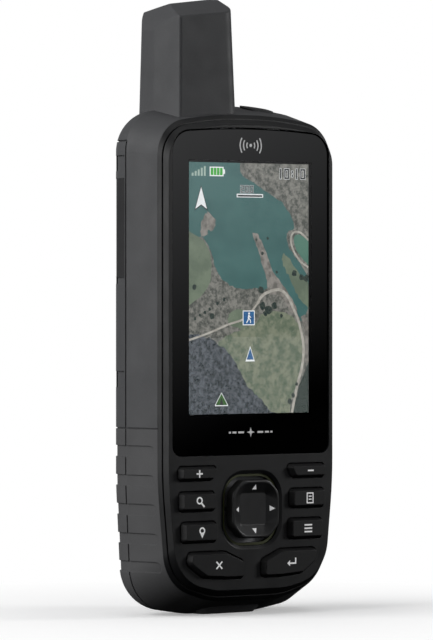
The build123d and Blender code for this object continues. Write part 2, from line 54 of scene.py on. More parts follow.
class Shader:
    """A node material under construction, with short calls for the usual nodes."""

    def __init__(self, name):
        self.material = bpy.data.materials.new(name)
        self.material.use_nodes = True
        self.tree = self.material.node_tree
        self.principled = self.tree.nodes["Principled BSDF"]
        self.coords = self.node("ShaderNodeTexCoord").outputs["Object"]

    def node(self, kind, **values):
        made = self.tree.nodes.new(kind)
        for key, value in values.items():
            setattr(made, key, value)
        return made

    def link(self, source, target):
        self.tree.links.new(source, target)

    def set(self, **values):
        """Plain numbers and colours on the Principled shader's own sockets."""
        for key, value in values.items():
            self.principled.inputs[key.replace("_", " ")].default_value = value

    def noise(self, size_mm, detail=3.0, rough=0.5):
        """Noise whose features are about size_mm across."""
        made = self.node("ShaderNodeTexNoise")
        made.inputs["Scale"].default_value = 1.0 / (size_mm * MM)
        made.inputs["Detail"].default_value = detail
        made.inputs["Roughness"].default_value = rough
        self.link(self.coords, made.inputs["Vector"])
        return made.outputs["Fac"]

    def remap(self, value, low, high, out_low, out_high):
        made = self.node("ShaderNodeMapRange")
        for key, number in zip(("From Min", "From Max", "To Min", "To Max"),
                               (low, high, out_low, out_high)):
            made.inputs[key].default_value = number
        self.link(value, made.inputs["Value"])
        return made.outputs["Result"]

    def mix(self, factor, first, second):
        """Blend of two colours, each a plain colour or a socket."""
        made = self.node("ShaderNodeMix", data_type="RGBA")
        for name, value in ((6, first), (7, second)):
            if isinstance(value, bpy.types.NodeSocket):
                self.link(value, made.inputs[name])
            else:
                made.inputs[name].default_value = (*value, 1.0)
        self.link(factor, made.inputs[0])
        return made.outputs[2]

    def bump(self, height, distance_mm, strength=1.0, normal=None):
        made = self.node("ShaderNodeBump")
        made.inputs["Distance"].default_value = distance_mm * MM
        made.inputs["Strength"].default_value = strength
        self.link(height, made.inputs["Height"])
        if normal:
            self.link(normal, made.inputs["Normal"])
        return made.outputs["Normal"]

    def soft_edges(self, radius_mm, samples=4):
        """Normals rounded over the part's edges."""
        made = self.node("ShaderNodeBevel", samples=samples)
        made.inputs["Radius"].default_value = radius_mm * MM
        return made.outputs["Normal"]

    def finish(self, colour=None, rough=None, normal=None):
        for name, value in (("Base Color", colour), ("Roughness", rough), ("Normal", normal)):
            if isinstance(value, bpy.types.NodeSocket):
                self.link(value, self.principled.inputs[name])
        return self.material


def scaled(colour, factor):
    return tuple(min(1.0, channel * factor) for channel in colour)


def moulded(name, colour, rough, grain_mm, grain_deep, edge_mm=0.15, worn=1.25, specular=0.4):
    """Moulded plastic or rubber: fine spark-eroded grain, slow colour drift, softened edges."""
    s = Shader(name)
    s.set(Specular_IOR_Level=specular)
    drift = s.remap(s.noise(14.0, 2.0), 0.35, 0.65, 0.0, 1.0)
    speck = s.remap(s.noise(0.5, 2.0), 0.45, 0.75, 0.0, 0.35)
    base = s.mix(drift, scaled(colour, 0.93), scaled(colour, 1.07))
    base = s.mix(speck, base, scaled(colour, worn))
    dull = s.remap(s.noise(5.0, 4.0), 0.3, 0.7, rough - 0.06, rough + 0.06)
    edges = s.soft_edges(edge_mm)
    grain = s.bump(s.noise(grain_mm, 3.0, 0.6), grain_deep, 1.0, edges)
    return s.finish(base, dull, grain)


# --------------------------------------------------------------- materials

def metal(name, colour, rough):
    """Metal with fine scratches."""
    s = Shader(name)
    s.set(Metallic=1.0)
    streaks = s.noise(0.3, 4.0, 0.6)
    base = s.mix(s.remap(s.noise(3.0), 0.35, 0.65, 0.0, 1.0), scaled(colour, 0.88), colour)
    dull = s.remap(streaks, 0.3, 0.7, rough - 0.08, rough + 0.12)
    return s.finish(base, dull, s.bump(streaks, 0.01, 0.6, s.soft_edges(0.12)))


def satin_black():
    return moulded("satin_black", (0.0072, 0.0074, 0.008), 0.42, 0.35, 0.006, 0.2, 1.5, 0.35)


def shell_grey():
    return moulded("shell_grey", (0.062, 0.063, 0.066), 0.56, 0.3, 0.012, 0.3, 1.2, 0.35)


def grip_rubber():
    return moulded("grip_rubber", (0.078, 0.078, 0.080), 0.68, 0.22, 0.015, 0.3, 1.15, 0.3)


def dark_rubber():
    return moulded("dark_rubber", (0.020, 0.020, 0.021), 0.62, 0.25, 0.012, 0.2, 1.3, 0.3)


def key_rubber():
    return moulded("key_rubber", (0.017, 0.017, 0.0175), 0.5, 0.3, 0.005, 0.25, 1.4, 0.22)


def rocker_gloss():
    return moulded("rocker_gloss", (0.018, 0.018, 0.0185), 0.36, 0.5, 0.003, 0.3, 1.4, 0.4)


def olive_plastic():
    return moulded("olive_plastic", (0.045, 0.052, 0.012), 0.45, 0.3, 0.006, 0.1, 1.3)


def cover_glass():
    """Clear strengthened glass with a faint uneven film."""
    s = Shader("cover_glass")
    s.set(Base_Color=(0.98, 0.99, 1.0, 1.0), Transmission_Weight=1.0, IOR=1.5)
    film = s.remap(s.noise(9.0, 3.0), 0.4, 0.7, 0.0, 0.035)
    return s.finish(rough=film)


def printed(name, colour, rough=0.5, lit=0.0):
    """Pad-printed ink: slightly uneven coverage; lit is its own light, a painted glow that makes the
    print brighter than the lamps alone make it.
    """
    s = Shader(name)
    s.set(Emission_Color=(1.0, 1.0, 1.0, 1.0), Emission_Strength=lit)
    cover = s.remap(s.noise(0.15, 2.0), 0.3, 0.7, 0.0, 1.0)
    base = s.mix(cover, scaled(colour, 0.86), colour)
    dull = s.remap(s.noise(0.4), 0.3, 0.7, rough - 0.08, rough + 0.08)
    return s.finish(base, dull, s.bump(cover, 0.004, 0.5))


def glow(name, dark, light, size_mm, detail=6.0):
    """One tone of the lit map: two colours blended by noise, shown by its own light."""
    s = Shader(name)
    blend = s.remap(s.noise(size_mm, detail, 0.65), 0.40, 0.60, 0.0, 1.0)
    base = s.mix(blend, dark, light)
    s.link(base, s.principled.inputs["Emission Color"])
    s.set(Emission_Strength=1.0, Specular_IOR_Level=0.0, Base_Color=(0.004, 0.004, 0.004, 1.0))
    return s.finish()


# ------------------------------------------------------------- flat shapes

def mesh_object(name, bm, material, body):
    """Turns a bmesh into a piece that rides on a body."""
    bmesh.ops.recalc_face_normals(bm, faces=bm.faces)
    mesh = bpy.data.meshes.new(name)
    bm.to_mesh(mesh)
    bm.free()
    mesh.materials.append(material)
    piece = bpy.data.objects.new(name, mesh)
    bpy.context.scene.collection.objects.link(piece)
    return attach(piece, body)


def flat(name, shapes, front, thick, material, body):
    """Thin plates facing -Y. Each shape is a list of loops in X and Z: an outline, then its holes."""
    bm = bmesh.new()
    for loops in shapes:
        points = [Vector((x, front, z)) for loop in loops for x, z in loop]
        verts = [bm.verts.new(point) for point in points]
        back = [bm.verts.new(point + Vector((0, thick, 0))) for point in points]
        flat_loops = [[Vector((x, z, 0)) for x, z in loop] for loop in loops]
        for triangle in tessellate_polygon(flat_loops):
            bm.faces.new([verts[i] for i in triangle])
            bm.faces.new([back[i] for i in reversed(triangle)])
        start = 0
        for loop in loops:
            count = len(loop)
            for i in range(count):
                a, b = start + i, start + (i + 1) % count
                bm.faces.new([verts[a], verts[b], back[b], back[a]])
            start += count
    return mesh_object(name, bm, material, body)


def circle(x, z, radius, count=24, start=0.0, sweep=360.0):
    """Points around a circle or arc, in degrees from +X."""
    closed = abs(sweep) >= 360.0
    steps = count if closed else count - 1
    angles = [math.radians(start + sweep * i / steps) for i in range(count)]
    return [(x + radius * math.cos(a), z + radius * math.sin(a)) for a in angles]


def box_loop(x, z, wide, high):
    return [(x - wide / 2, z - high / 2), (x + wide / 2, z - high / 2),
            (x + wide / 2, z + high / 2), (x - wide / 2, z + high / 2)]


def stroke(points, width):
    """Outline of a line of even width through the points, with mitred corners."""
    left, right = [], []
    for i, (x, z) in enumerate(points):
        before = Vector(points[max(i - 1, 0)])
        after = Vector(points[min(i + 1, len(points) - 1)])
        here = Vector((x, z))
        into = (here - before).normalized() if i else (after - here).normalized()
        out = (after - here).normalized() if i < len(points) - 1 else into
        along = (into + out).normalized()
        side = Vector((-along.y, along.x))
        reach = 0.5 * width / max(0.5, side.dot(Vector((-into.y, into.x))))
        left.append(tuple(here + side * reach))
        right.append(tuple(here - side * reach))
    return left + right[::-1]


def moved(loop, x, z, scale=1.0):
    return [(x + scale * px, z + scale * pz) for px, pz in loop]


def curve_span(points, places):
    """Catmull-Rom points from the second to the third of the four named places."""
    p0, p1, p2, p3 = (Vector(points[place]) for place in places)
    span = []
    for step in range(CURVE_STEPS):
        t = step / CURVE_STEPS
        span.append(0.5 * ((2 * p1) + (p2 - p0) * t + (2 * p0 - 5 * p1 + 4 * p2 - p3) * t * t
                           + (3 * p1 - p0 - 3 * p2 + p3) * t ** 3))
    return span


def smooth_loop(points, rough):
    """Closed curve through the points; rough shakes it like a shoreline."""
    loop = []
    count = len(points)
    for i in range(count):
        for point in curve_span(points, [(i + k - 1) % count for k in range(4)]):
            shake = Vector((random.uniform(-rough, rough), random.uniform(-rough, rough)))
            loop.append(tuple(point + shake))
    return loop


# -------------------------------------------------------- carried-over CAD

def paint_cad():
    """Gives each CAD node its finished material."""
    black, grey, rubber = satin_black(), shell_grey(), grip_rubber()
    dark, keys = dark_rubber(), key_rubber()
    steel = metal("screw_steel", (0.30, 0.30, 0.31), 0.35)
    tin = metal("tinned_sheet", (0.62, 0.62, 0.63), 0.3)
    board = moulded("solder_mask", (0.012, 0.065, 0.03), 0.35, 0.4, 0.004, 0.05)
    white = moulded("white_diffuser", (0.8, 0.82, 0.85), 0.5, 0.5, 0.004, 0.05, 1.0)
    ceramic = moulded("ceramic", (0.68, 0.64, 0.55), 0.3, 0.3, 0.003, 0.1)
    groups = {
        black: ("front_housing", "door_latch", "spine_rail"),
        grey: ("mid_housing", "rear_housing", "antenna_housing", "battery_door"),
        rubber: ("grip_overmould",),
        dark: ("side_inlay_left", "side_inlay_right", "power_button", "weather_cap",
               "housing_gasket", "display_gasket", "door_gasket", "antenna_coax",
               "power_switch", "beeper"),
        keys: tuple(name for name in NODES if name.startswith("key_")),
        rocker_gloss(): ("rocker_cap", "rocker_stem"),
        olive_plastic(): ("rocker_ring",),
        cover_glass(): ("display_glass",),
        steel: ("housing_screws", "spine_screws", "board_screws"),
        metal("ring_steel", (0.55, 0.55, 0.56), 0.28): ("d_ring",),
        metal("copper", (0.75, 0.38, 0.22), 0.3): ("helix_strips",),
        tin: ("display_frame", "shield_cans", "usb_connector", "dome_switches",
              "contact_springs", "contact_plates"),
        metal("cell_jacket", (0.10, 0.11, 0.13), 0.4): ("battery_left", "battery_right"),
        board: ("main_board", "io_board", "antenna_base"),
        white: ("backlight_unit", "lcd_panel"),
        ceramic: ("helix_core",),
        moulded("silicone", (0.25, 0.25, 0.26), 0.5, 0.4, 0.005, 0.1): ("keypad_mat",),
    }
    for material, names in groups.items():
        for name in names:
            mesh = NODES[name].data
            mesh.materials.clear()
            mesh.materials.append(material)


# ------------------------------------------------------------ the display

LCD_LOW, LCD_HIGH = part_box("lcd_panel")
GLASS_LOW, GLASS_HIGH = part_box("display_glass")
SCREEN_LEFT = LCD_LOW.x + 1.5 * MM
SCREEN_WIDE = -2 * SCREEN_LEFT
SCREEN_TOP = LCD_HIGH.z - 2.25 * MM
SCREEN_TALL = SCREEN_TOP - (LCD_LOW.z + 2.8 * MM)
LAYER = 0.003 * MM                    # step between two levels of the picture
INK_Y = GLASS_HIGH.y - 0.02 * MM      # ink on the back of the glass
GLOSS_Y = GLASS_LOW.y - 0.015 * MM    # ink and its gloss on the front of the glass
MARK_Y = GLOSS_Y - 0.005 * MM         # symbols on the border


def on_screen(u, v):
    """Point on the lit area: u across from the left, v down from the top, each 0 to 1."""
    return (SCREEN_LEFT + u * SCREEN_WIDE, SCREEN_TOP - v * SCREEN_TALL)


def clipped(loop):
    """Loop kept inside the lit area."""
    return [on_screen(min(max(u, 0.0), 1.0), min(max(v, 0.0), 1.0)) for u, v in loop]


def map_layer(name, points, material, level, rough):
    """One region of the map; a higher level lies nearer to the glass."""
    loop = clipped(smooth_loop(points, rough))
    clean = [p for i, p in enumerate(loop) if (Vector(p) - Vector(loop[i - 1])).length > 1e-6]
    return flat(name, [[clean]], LCD_LOW.y - level * LAYER, LAYER * 0.5, material, "case")


def map_line(name, points, width, material, level):
    """A road or path across the map, of even width."""
    path = []
    last = len(points) - 1
    for i in range(last):
        path += curve_span(points, [min(max(i + k - 1, 0), last) for k in range(4)])
    path.append(Vector(points[-1]))
    line = [on_screen(*p) for p in path]
    return flat(name, [[stroke(line, width * MM)]], LCD_LOW.y - level * LAYER, LAYER * 0.5,
                material, "case")


def build_map():
    """Lake country seen from above: water, spit, fields, woods and tracks."""
    base = glow("map_scrub", (0.075, 0.08, 0.07), (0.23, 0.225, 0.20), 1.2)
    water = glow("map_water", (0.042, 0.115, 0.110), (0.055, 0.140, 0.132), 12.0, detail=2.0)
    meadow = glow("map_meadow", (0.115, 0.15, 0.105), (0.16, 0.20, 0.14), 5.0)
    field = glow("map_field", (0.10, 0.135, 0.09), (0.215, 0.235, 0.165), 2.2)
    woods = glow("map_woods", (0.008, 0.016, 0.020), (0.095, 0.108, 0.125), 0.9)
    sand = glow("map_sand", (0.13, 0.125, 0.11), (0.27, 0.25, 0.225), 1.6)
    track = glow("map_track", (0.33, 0.31, 0.27), (0.46, 0.44, 0.39), 1.5)
    pond = glow("map_pond", (0.07, 0.17, 0.13), (0.09, 0.20, 0.15), 6.0)
    tree = glow("map_tree", (0.012, 0.025, 0.022), (0.04, 0.055, 0.045), 0.6)
    flat("map_ground", [[clipped([(0, 0), (1, 0), (1, 1), (0, 1)])]], LCD_LOW.y - LAYER, LAYER * 0.5,
         base, "case")
    map_layer("map_lake", [(-0.05, -0.05), (0.38, -0.03), (0.43, 0.04), (0.60, 0.10), (0.76, 0.15),
                           (0.84, 0.20), (0.88, 0.255), (0.82, 0.28), (0.84, 0.34), (0.97, 0.43),
                           (1.03, 0.52), (0.95, 0.63), (0.88, 0.57), (0.80, 0.50), (0.72, 0.48),
                           (0.64, 0.505), (0.54, 0.50), (0.42, 0.50), (0.30, 0.475), (0.22, 0.42),
                           (0.18, 0.35), (0.11, 0.30), (-0.05, 0.285)], water, 2, 0.004)
    map_layer("map_meadow_west", [(-0.05, 0.29), (0.10, 0.305), (0.165, 0.35), (0.185, 0.42),
                                  (0.15, 0.50), (-0.05, 0.56)], meadow, 3, 0.003)
    map_layer("map_islet", [(0.115, 0.225), (0.155, 0.20), (0.22, 0.235), (0.20, 0.265), (0.165, 0.27),
                            (0.15, 0.29), (0.10, 0.285)], sand, 3, 0.007)
    map_layer("map_spit", [(0.53, 0.285), (0.57, 0.285), (0.63, 0.34), (0.70, 0.43), (0.80, 0.50),
                           (0.90, 0.58), (0.86, 0.60), (0.76, 0.53), (0.66, 0.52), (0.645, 0.46),
                           (0.58, 0.36)], sand, 4, 0.004)
    map_layer("map_east_islet", [(0.78, 0.365), (0.82, 0.37), (0.90, 0.43), (1.03, 0.50),
                                 (1.03, 0.58), (0.92, 0.54), (0.84, 0.46), (0.78, 0.40)],
              meadow, 4, 0.005)
    map_layer("map_pond_east", [(0.89, 0.285), (0.95, 0.29), (1.03, 0.33), (1.03, 0.41), (0.93, 0.37),
                                (0.88, 0.32)], pond, 4, 0.002)
    map_layer("map_field_south", [(0.62, 0.60), (0.80, 0.60), (0.93, 0.66), (0.95, 0.80), (0.86, 0.94),
                                  (0.80, 1.05), (0.62, 1.05), (0.48, 0.92), (0.36, 0.80), (0.24, 0.72),
                                  (0.40, 0.67), (0.55, 0.64)], field, 3, 0.004)
    map_layer("map_field_near", [(0.34, 0.60), (0.44, 0.585), (0.50, 0.63), (0.44, 0.66), (0.33, 0.64)],
              meadow, 4, 0.003)
    map_layer("map_woods_south", [(-0.05, 0.715), (0.14, 0.695), (0.26, 0.73), (0.38, 0.79),
                                  (0.47, 0.88), (0.56, 0.93), (0.68, 0.99), (0.70, 1.05),
                                  (-0.05, 1.05)], woods, 5, 0.006)
    map_layer("map_woods_east", [(0.98, 0.82), (1.04, 0.80), (1.04, 1.05), (0.84, 1.05), (0.90, 0.93)],
              tree, 5, 0.006)
    map_line("map_road_loop", [(1.0, 0.415), (0.93, 0.39), (0.87, 0.345), (0.85, 0.30), (0.875, 0.275),
                               (0.93, 0.275), (1.0, 0.305)], 0.55, track, 6)
    map_line("map_road_east", [(0.57, 0.56), (0.62, 0.525), (0.74, 0.505), (0.82, 0.53), (0.88, 0.59),
                               (0.92, 0.64), (0.955, 0.72), (0.95, 0.80), (0.90, 0.90), (0.86, 1.0)],
             0.8, track, 6)
    map_line("map_road_west", [(0.0, 0.705), (0.15, 0.68), (0.32, 0.645), (0.46, 0.62), (0.57, 0.56)],
             0.55, track, 6)
    map_line("map_shore_sand", [(0.95, 0.61), (0.985, 0.66), (0.975, 0.74), (0.985, 0.80)], 1.5, sand, 5)
    trees = []
    for u, v, size in ((0.05, 0.62, 0.5), (0.09, 0.607, 0.45), (0.13, 0.596, 0.5), (0.17, 0.583, 0.45),
                       (0.235, 0.56, 0.55), (0.29, 0.545, 0.5), (0.045, 0.495, 0.8), (0.19, 0.61, 0.9),
                       (0.61, 0.57, 1.1), (0.66, 0.585, 1.3), (0.71, 0.57, 1.0), (0.635, 0.60, 0.8),
                       (0.60, 0.505, 1.0), (0.655, 0.30, 0.4), (0.61, 0.36, 0.5), (0.73, 0.435, 0.4),
                       (0.56, 0.305, 0.4), (0.88, 0.44, 0.9), (0.94, 0.455, 0.9), (0.98, 0.46, 1.0),
                       (0.77, 0.61, 0.5), (0.87, 0.93, 0.7), (0.84, 0.955, 0.8), (0.90, 0.885, 0.5)):
        x, z = on_screen(u, v)
        crown = [(random.uniform(0.75, 1.15) * px, random.uniform(0.75, 1.15) * pz)
                 for px, pz in circle(0, 0, size * MM, 9)]
        trees.append([moved(crown, x, z)])
    flat("map_trees", trees, LCD_LOW.y - 7 * LAYER, LAYER * 0.5, tree, "case")


def build_icons():
    """Status and marker symbols on the lit area."""
    white = glow("icon_white", (0.78, 0.80, 0.80), (0.86, 0.88, 0.88), 1.0)
    black = glow("icon_black", (0.004, 0.004, 0.005), (0.01, 0.01, 0.012), 1.0)
    green = glow("icon_green", (0.03, 0.33, 0.03), (0.06, 0.42, 0.05), 1.0)
    leaf = glow("icon_leaf", (0.02, 0.09, 0.008), (0.03, 0.12, 0.012), 1.0)
    blue = glow("icon_blue", (0.02, 0.09, 0.24), (0.03, 0.14, 0.32), 1.0)
    pale = glow("icon_pale", (0.32, 0.42, 0.36), (0.40, 0.50, 0.44), 1.0)

    def icon(name, shapes, material, level):
        return flat(name, shapes, LCD_LOW.y - level * LAYER, LAYER * 0.5, material, "case")

    bars = []
    for i in range(5):
        x, z = on_screen(0.03 + 0.025 * i, 0.055)
        high = (0.8 + 0.45 * i) * MM
        bars.append([box_loop(x, z + high / 2, 0.6 * MM, high)])
    icon("icon_signal", bars, pale, 9)

    x, z = on_screen(0.228, 0.036)
    case = box_loop(x, z, 4.6 * MM, 2.5 * MM)
    tip = box_loop(x + 2.5 * MM, z, 0.5 * MM, 1.2 * MM)
    fill = [[box_loop(x + (i - 1.5) * 1.02 * MM, z, 0.85 * MM, 1.9 * MM)] for i in range(4)]
    icon("icon_battery_rim", [[case], [tip]], white, 9)
    icon("icon_battery_fill", fill, green, 11)

    arrow = [(0, 2.9), (1.9, -2.9), (0, -1.7), (-1.9, -2.9)]
    x, z = on_screen(0.10, 0.142)
    icon("icon_north_rim", [[moved(arrow, x, z, 1.18 * MM)]], black, 9)
    icon("icon_north", [[moved(arrow, x, z, 1.0 * MM)]], white, 11)

    x, z = on_screen(0.505, 0.130)
    icon("icon_scale_rim", [[box_loop(x, z, 8.8 * MM, 0.95 * MM)]], white, 9)
    icon("icon_scale", [[box_loop(x, z - 0.05 * MM, 8.2 * MM, 0.45 * MM)]], black, 11)

    x, z = on_screen(0.495, 0.618)
    icon("icon_marker_rim", [[box_loop(x, z, 4.0 * MM, 3.9 * MM)]], white, 9)
    icon("icon_marker", [[box_loop(x, z, 3.5 * MM, 3.4 * MM)]], blue, 11)
    walker = [
        [moved(circle(0.1, 1.15, 0.32, 12), x, z, MM)],
        [moved(stroke([(0.05, 0.75), (-0.05, -0.15)], 0.55), x, z, MM)],
        [moved(stroke([(-0.05, 0.0), (0.55, -0.65), (0.6, -1.35)], 0.3), x, z, MM)],
        [moved(stroke([(-0.05, 0.0), (-0.3, -0.7), (-0.75, -1.3)], 0.3), x, z, MM)],
        [moved(stroke([(0.05, 0.6), (0.75, 0.05)], 0.22), x, z, MM)],
    ]
    for level, shape in enumerate(walker):
        icon(f"icon_walker_{level}", [shape], white, 13 + level)

    here = [(0, 1.8), (1.3, -1.6), (-1.3, -1.6)]
    x, z = on_screen(0.507, 0.763)
    icon("icon_here_rim", [[moved(here, x, z, 1.2 * MM)]], white, 9)
    icon("icon_here", [[moved(here, x, z, 0.9 * MM)]], blue, 11)

    tent = [(0, 1.7), (1.9, -1.2), (1.9, -1.5), (-1.9, -1.5), (-1.9, -1.2)]
    x, z = on_screen(0.268, 0.943)
    icon("icon_tent_rim", [[moved(tent, x, z, 1.12 * MM)]], white, 9)
    icon("icon_tent", [[moved(tent, x, z, 0.95 * MM)]], leaf, 11)
    icon("icon_tent_door", [[moved([(0, 0.5), (0.6, -1.35), (-0.6, -1.35)], x, z, MM)]], black, 13)
    return white, black


def seven_segment(digits, x, z, high, gap, width):
    """Numerals as strokes, left to right from x; returns their shapes."""
    wide = high * 0.52
    spots = {"a": ((0, 1), (1, 1)), "b": ((1, 1), (1, 0.5)), "c": ((1, 0.5), (1, 0)),
             "d": ((0, 0), (1, 0)), "e": ((0, 0.5), (0, 0)), "f": ((0, 1), (0, 0.5)),
             "g": ((0, 0.5), (1, 0.5)), "m": ((0.5, 1), (0.5, 0))}
    lit = {"0": "abcdef", "1": "m", "2": "abged"}
    shapes = []
    for digit in digits:
        if digit == ":":
            for level in (0.28, 0.72):
                shapes.append([box_loop(x + width, z + high * level, width * 1.2, width * 1.2)])
            x += width * 2 + gap
            continue
        for segment in lit[digit]:
            ends = [(x + wide * u, z + high * v) for u, v in spots[segment]]
            (ax, az), (bx, bz) = ends
            shapes.append([box_loop((ax + bx) / 2, (az + bz) / 2, abs(bx - ax) + width,
                                    abs(bz - az) + width)])
        x += wide + width + gap
    return shapes


def build_numerals(white, black):
    """Clock digits and the number over the scale bar: dark strokes with a pale edge."""
    for name, text, place, high, width, edge in (
            ("clock", "10:10", (0.748, 0.057), 2.3, 0.44, 0.2),
            ("scale", "200", (0.43, 0.116), 1.6, 0.3, 0.14)):
        x, z = on_screen(*place)
        strokes = seven_segment(text, x, z, high * MM, 0.42 * MM, width * MM)
        for i, (loop,) in enumerate(strokes):
            mid_x, mid_z = (loop[0][0] + loop[2][0]) / 2, (loop[0][1] + loop[2][1]) / 2
            wide, tall = loop[2][0] - loop[0][0], loop[2][1] - loop[0][1]
            rim = box_loop(mid_x, mid_z, wide + edge * MM, tall + edge * MM)
            for part, outline, level, material in (("rim", rim, 9, white), ("stroke", loop, 11, black)):
                flat(f"{name}_{part}_{i}", [[outline]], LCD_LOW.y - (level + 0.02 * i) * LAYER,
                     LAYER * 0.5, material, "case")


def glass_outline(inset):
    """Edge of the cover glass: square foot, shallow arched top, round corners."""
    low_z, high_z = GLASS_LOW.z + inset, GLASS_HIGH.z - inset
    half = GLASS_HIGH.x - inset
    foot_r, head_r, sag = 2.8 * MM - inset, 6.0 * MM - inset, 0.8 * MM
    loop = circle(half - foot_r, low_z + foot_r, foot_r, 7, -90, 90)
    loop += circle(half - head_r, high_z - sag - head_r, head_r, 9, 0, 82)
    top = [(half - head_r) * (1 - i / 5) for i in range(1, 10)]
    loop += [(x, high_z - sag * (x / (half - head_r)) ** 2) for x in top]
    loop += circle(-half + head_r, high_z - sag - head_r, head_r, 9, 98, 82)
    loop += circle(-half + foot_r, low_z + foot_r, foot_r, 7, 180, 90)
    return loop


def ink_colour(s):
    """Near-black with a slow drift."""
    return s.mix(s.noise(8.0), (0.0006, 0.0006, 0.0007), (0.0010, 0.0010, 0.0011))


def border_ink():
    s = Shader("border_ink")
    s.set(Specular_IOR_Level=0.0)
    return s.finish(ink_colour(s), s.remap(s.noise(2.0), 0.3, 0.7, 0.5, 0.6))


def border_gloss():
    """The ink as it looks through the polished glass."""
    s = Shader("border_gloss")
    return s.finish(ink_colour(s), s.remap(s.noise(9.0), 0.4, 0.7, 0.01, 0.04))


def build_border():
    """Black border around the lit area: ink behind the glass, its gloss in front, and a matt edge, which
    is the border's black ink without the glass's gloss, a painted shade line standing in for the shaded
    gap around the glass.
    """
    ink = border_ink()
    window = clipped([(0, 0), (0, 1), (1, 1), (1, 0)])
    flat("glass_border", [[glass_outline(0.25 * MM), window]], INK_Y, 0.004 * MM, ink, "case")
    (left, top), (right, low) = on_screen(-0.012, -0.008), on_screen(1.012, 1.008)
    opening = [(left, top), (left, low), (right, low), (right, top)]
    # painted shade: matt black strip along the glass's rim, darker than the glossy glass would be, for
    # the shaded gap around it
    flat("glass_edge_painted_shade", [[glass_outline(0.0), glass_outline(0.3 * MM)]], GLOSS_Y, 0.01 * MM, ink, "case")
    flat("glass_border_gloss", [[glass_outline(0.31 * MM), opening]], GLOSS_Y, 0.01 * MM,
         border_gloss(), "case")


def ring_arc(x, z, radius, width, start, sweep):
    """Outline of part of a ring."""
    outer = circle(x, z, radius, 16, start, sweep)
    inner = circle(x, z, radius - width, 16, start, sweep)
    return outer + inner[::-1]


def build_marks():
    """Generic printed symbols on the border: a compass star below, signal arcs above."""
    # the printed symbols carry a faint painted glow, brighter than the lamps make them
    pale = printed("border_print_painted_glow", (0.85, 0.85, 0.85), lit=0.08)
    star = []
    for i in range(8):
        reach = (1.3, 0.42)[i % 2]
        angle = math.radians(45 * i)
        star.append((reach * math.cos(angle), reach * math.sin(angle)))
    z = GLASS_LOW.z + 5.9 * MM
    shapes = [[moved(star, 0, z, MM)]]
    for side in (-1, 1):
        for x, wide in ((3.2, 1.9), (5.4, 1.3), (6.9, 0.7)):
            shapes.append([box_loop(side * x * MM, z, wide * MM, 0.5 * MM)])
    flat("emblem_star", shapes, MARK_Y, 0.004 * MM, pale, "case")
    z = GLASS_HIGH.z - 4.5 * MM
    shapes = [[moved(circle(0, 0, 0.45, 16), 0, z, MM)]]
    for radius in (1.5, 2.6, 3.7):
        for start in (-34, 146):
            shapes.append([moved(ring_arc(0, 0, radius, 0.38, start, 68), 0, z, MM)])
    flat("signal_mark", shapes, MARK_Y, 0.004 * MM, pale, "case")


# -------------------------------------------------------------- the keypad

def key_symbols():
    """Strokes of each key's symbol, in millimetres about its middle."""
    width = 0.42
    sheet = [stroke(line, width * 0.8) for line in (
        [(-1.0, -1.45), (-1.0, 1.45)], [(1.0, -1.45), (1.0, 1.45)],
        [(-1.0, 1.3), (1.0, 1.3)], [(-1.0, -1.3), (1.0, -1.3)])]
    return {
        "plus": [stroke([(-1.0, 0), (1.0, 0)], width), stroke([(0, -1.0), (0, 1.0)], width)],
        "minus": [stroke([(-1.0, 0), (1.0, 0)], width)],
        "find": [("ring", -0.25, 0.3, 1.0, width), stroke([(0.45, -0.45), (1.3, -1.35)], width * 1.2)],
        "page": sheet + [stroke([(-0.5, h), (0.5, h)], width * 0.7) for h in (0.45, -0.35)],
        "mark": [("ring", 0, 0.45, 0.95, width), [(-0.78, 0.0), (0.78, 0.0), (0, -1.55)]],
        "menu": [stroke([(-1.3, h), (1.3, h)], width) for h in (0.9, 0, -0.9)],
        "quit": [stroke([(-0.95, -0.95), (0.95, 0.95)], width),
                 stroke([(-0.95, 0.95), (0.95, -0.95)], width)],
        "enter": [stroke([(1.3, 1.1), (1.3, -0.35), (-0.8, -0.35)], width),
                  [(-1.5, -0.35), (-0.6, 0.45), (-0.6, -1.15)]],
    }


def build_key_symbols():
    """Printed symbols on the key tops."""
    # the symbols' ink carries a painted glow of its own, brighter than the lamps make it
    pale = printed("key_print_painted_glow", (0.9, 0.9, 0.89), lit=PAINTED_GLOW)
    shift = {"quit": (0.2, 0.1), "enter": (-0.2, 0.1), "plus": (-0.4, 0), "minus": (0.4, 0)}
    for name, strokes in key_symbols().items():
        low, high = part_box("key_" + name)
        dx, dz = shift.get(name, (0, 0))
        x = (low.x + high.x) / 2 + dx * MM
        z = (low.z + high.z) / 2 + dz * MM
        for i, item in enumerate(strokes):
            if item[0] == "ring":
                _, cx, cz, radius, wide = item
                loops = [circle(cx, cz, radius, 28), circle(cx, cz, radius - wide, 28)[::-1]]
            else:
                loops = [item]
            flat(f"legend_{name}_{i}", [[moved(loop, x, z, MM) for loop in loops]],
                 low.y - (0.012 + 0.002 * i) * MM, 0.02 * MM, pale, "key_" + name)


def build_rocker_arrows():
    """Direction marks on the four slopes of the rocker's dish."""
    # the arrows' ink carries a painted glow of its own, brighter than the lamps make it
    pale = printed("arrow_print_painted_glow", (0.9, 0.9, 0.9), lit=PAINTED_GLOW)
    low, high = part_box("rocker_cap")
    x, z = (low.x + high.x) / 2, (low.z + high.z) / 2
    arrow = [(0.0, 0.72), (0.72, -0.62), (-0.72, -0.62)]
    for turn in range(4):
        cos, sin = ((1, 0), (0, 1), (-1, 0), (0, -1))[turn]
        outward = [(px, pz + ARROW_OUT) for px, pz in arrow]
        spun = [(px * cos - pz * sin, px * sin + pz * cos) for px, pz in outward]
        piece = flat(f"rocker_arrow_{turn}", [[moved(spun, x, z, MM)]], low.y, 0.02 * MM, pale,
                     "rocker_cap")
        for vertex in piece.data.vertices:
            out = abs(vertex.co.x - x) if turn % 2 else abs(vertex.co.z - z)
            vertex.co.y += DISH_SLOPE * (DISH_MOUTH - out) - 0.05 * MM


# ------------------------------------------------------------ surroundings

